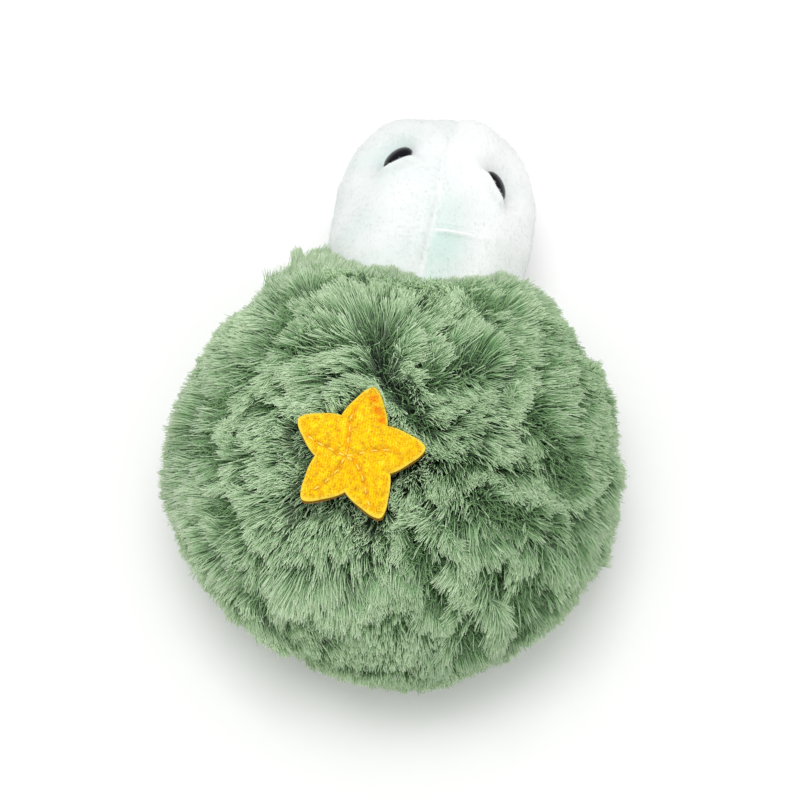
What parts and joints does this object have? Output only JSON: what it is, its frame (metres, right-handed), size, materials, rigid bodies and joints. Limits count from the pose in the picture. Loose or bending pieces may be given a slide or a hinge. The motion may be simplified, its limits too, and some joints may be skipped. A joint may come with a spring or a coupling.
{
  "type": "plush fridge magnet",
  "caption": "Stuffed turtle with a long-pile domed shell, a short-pile head, snap eyes and a padded star, held to steel by a magnet in its flat belly.",
  "frame": {"origin": "centre of the flat belly face under the magnet, where the toy meets the steel", "axes": "-Z out of the belly face toward the steel, +Y along the body toward the head, +X to the toy's own right"},
  "size_m": [0.0756, 0.104, 0.0514],
  "materials": {
    "green_pile": "long-pile faux fur, tufted and matt, with paler trimmed tips",
    "mint_plush": "short-pile velboa plush with a soft sheen",
    "yellow_felt": "brushed felt with a light fuzz",
    "black_plastic": "polished moulded ABS",
    "clear_plastic": "natural moulded polyethylene",
    "polyester_fill": "loose polyester fibre",
    "pouch_cloth": "pressed non-woven cloth",
    "ferrite": "bare sintered ferrite, dull"
  },
  "bodies": {
    "root": {"shell_cover_left": "green_pile", "shell_cover_right": "green_pile", "belly_panel": "mint_plush", "body_stuffing": "polyester_fill", "magnet_disc": "ferrite", "magnet_pouch": "pouch_cloth", "head_cover_left": "mint_plush", "head_cover_right": "mint_plush", "head_stuffing": "polyester_fill", "eye_left": "black_plastic", "eye_right": "black_plastic", "eye_washer_left": "clear_plastic", "eye_washer_right": "clear_plastic", "star_backing": "yellow_felt", "star_wadding": "polyester_fill", "star_front": "yellow_felt"}
  },
  "joints": []
}
